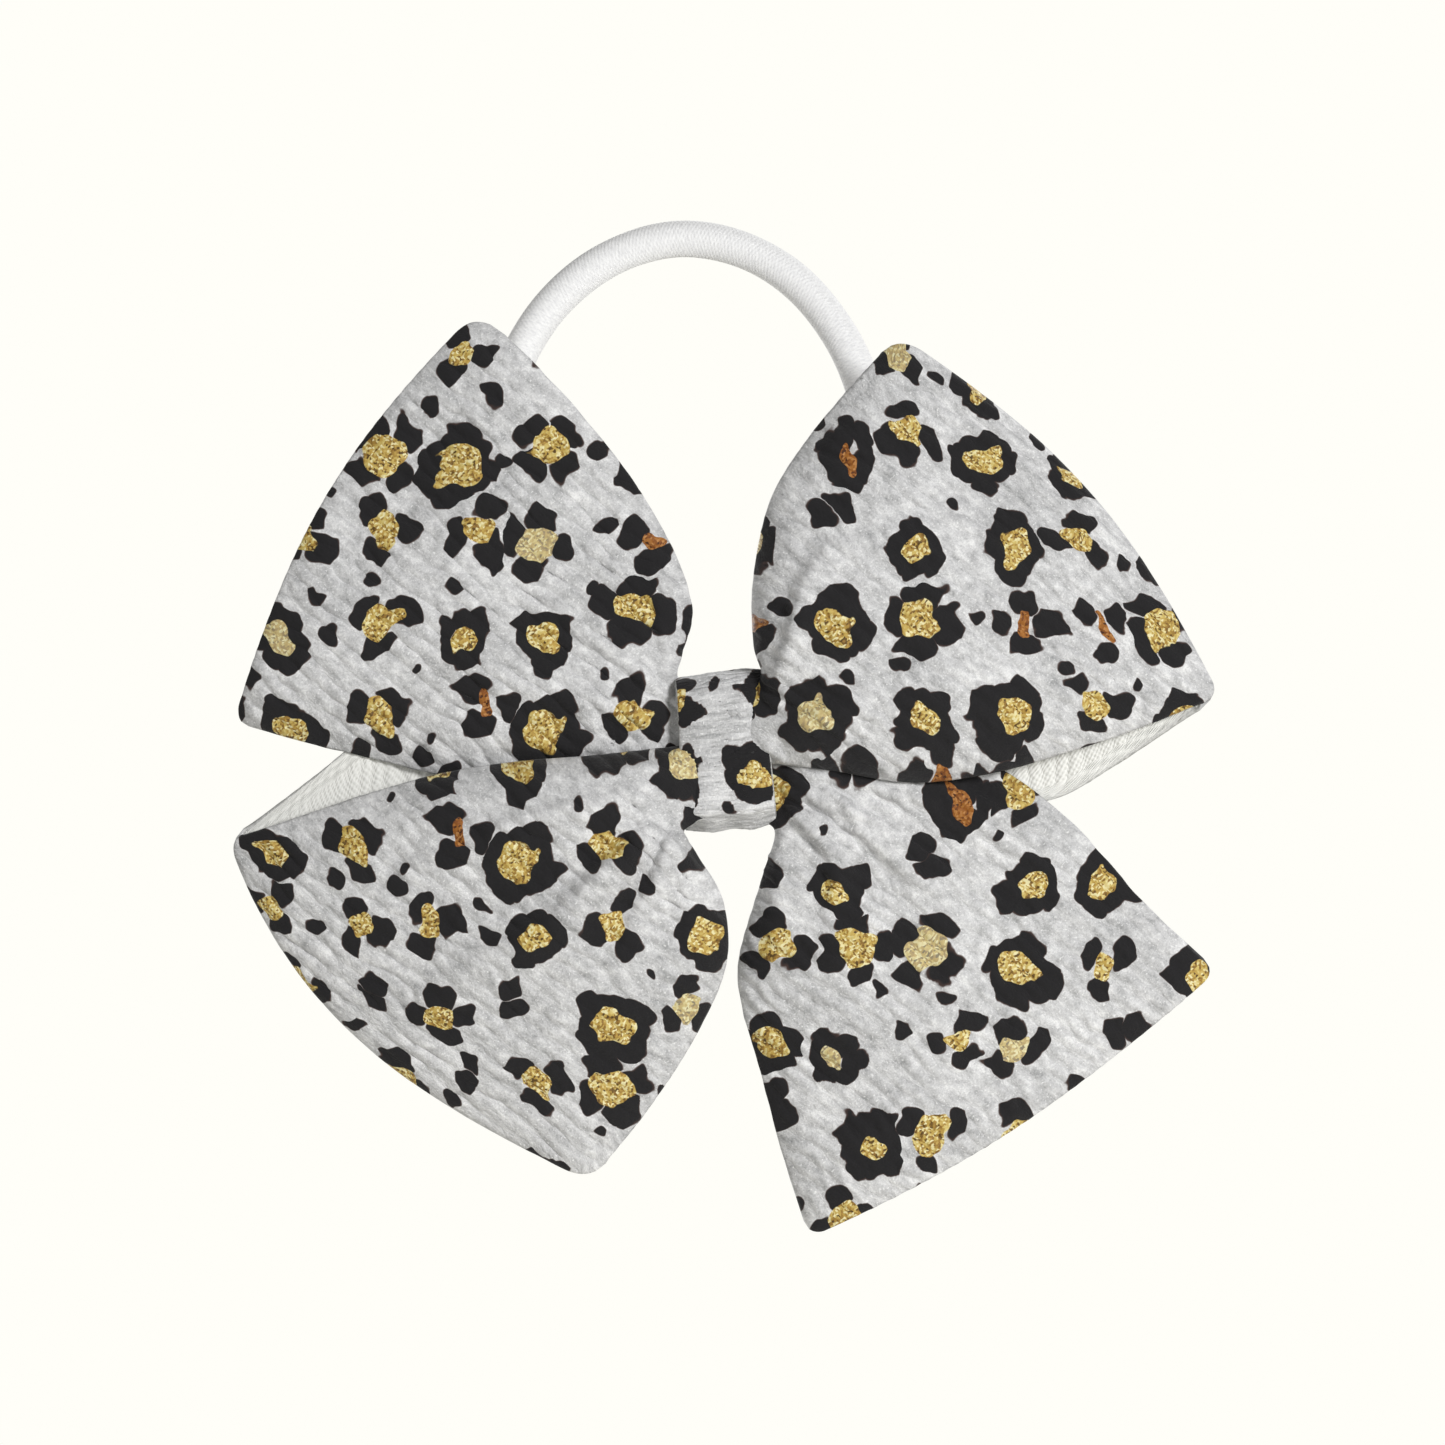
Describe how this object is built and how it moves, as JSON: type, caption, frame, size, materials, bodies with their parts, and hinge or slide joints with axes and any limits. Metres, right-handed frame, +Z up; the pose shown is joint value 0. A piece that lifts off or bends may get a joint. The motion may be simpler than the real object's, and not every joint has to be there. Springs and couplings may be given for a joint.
{
  "type": "cheer hair bow",
  "caption": "Pinwheel cheer hair bow: a folded strip of printed stretch knit with two loops and two tails, a centre wrap and a round hair elastic.",
  "frame": {"origin": "on the flat back of the centre wrap, level with the elastic that runs through it", "axes": "+Z up the bow towards the elastic's crown, +Y from the bow's face towards the hair, +X to the right as seen from the face"},
  "size_m": [0.1584, 0.037, 0.1658],
  "materials": {
    "printed_knit": "matte",
    "knit_wrong_side": "matte",
    "sewing_thread": "satin",
    "hot_glue": "satin",
    "elastic_sheath": "matte",
    "elastic_rubber": "matte",
    "crimp_steel": "satin"
  },
  "bodies": {
    "knot": {"gathered_core": "knit_wrong_side", "cinch_thread": "sewing_thread", "centre_wrap": "printed_knit", "wrap_glue_bead": "hot_glue", "wrap_tacking_stitches": "sewing_thread"},
    "upper_left": {"upper_left_tail": "printed_knit"},
    "upper_right": {"upper_right_loop_front": "printed_knit", "upper_right_loop_back": "knit_wrong_side"},
    "lower_left": {"lower_left_loop_front": "printed_knit", "lower_left_loop_back": "knit_wrong_side"},
    "lower_right": {"lower_right_tail": "printed_knit"},
    "elastic_base": {"elastic_sheath_channel": "elastic_sheath", "elastic_rubber_channel": "elastic_rubber", "elastic_crimp": "crimp_steel", "elastic_sheath_left_leg": "elastic_sheath", "elastic_sheath_right_leg": "elastic_sheath", "elastic_rubber_left_leg": "elastic_rubber", "elastic_rubber_right_leg": "elastic_rubber"},
    "elastic_crown": {"elastic_sheath_crown": "elastic_sheath", "elastic_rubber_crown": "elastic_rubber"}
  },
  "joints": [
    {"name": "upper_left_flap", "type": "hinge", "parent": "knot", "child": "upper_left", "pos_m": [0, -0.01495, 0], "axis": [1, 0, 0], "range_deg": [-6, 35], "stiffness_Nm_per_rad": 0.03},
    {"name": "upper_right_flap", "type": "hinge", "parent": "knot", "child": "upper_right", "pos_m": [0, -0.01495, 0], "axis": [1, 0, 0], "range_deg": [-6, 35], "stiffness_Nm_per_rad": 0.03},
    {"name": "lower_left_flap", "type": "hinge", "parent": "knot", "child": "lower_left", "pos_m": [0, -0.01495, 0], "axis": [-1, 0, 0], "range_deg": [-15, 35], "stiffness_Nm_per_rad": 0.03},
    {"name": "lower_right_flap", "type": "hinge", "parent": "knot", "child": "lower_right", "pos_m": [0, -0.01495, 0], "axis": [-1, 0, 0], "range_deg": [-15, 35], "stiffness_Nm_per_rad": 0.03},
    {"name": "elastic_swing", "type": "hinge", "parent": "knot", "child": "elastic_base", "pos_m": [0, -0.00675, 0], "axis": [-1, 0, 0], "range_deg": [0, 120]},
    {"name": "elastic_stretch", "type": "slide", "parent": "elastic_base", "child": "elastic_crown", "axis": [0, 0.1736, 0.9848], "range_m": [0, 0.04], "stiffness_N_per_m": 120, "deforming": ["elastic_sheath_left_leg", "elastic_sheath_right_leg", "elastic_rubber_left_leg", "elastic_rubber_right_leg"]}
  ]
}
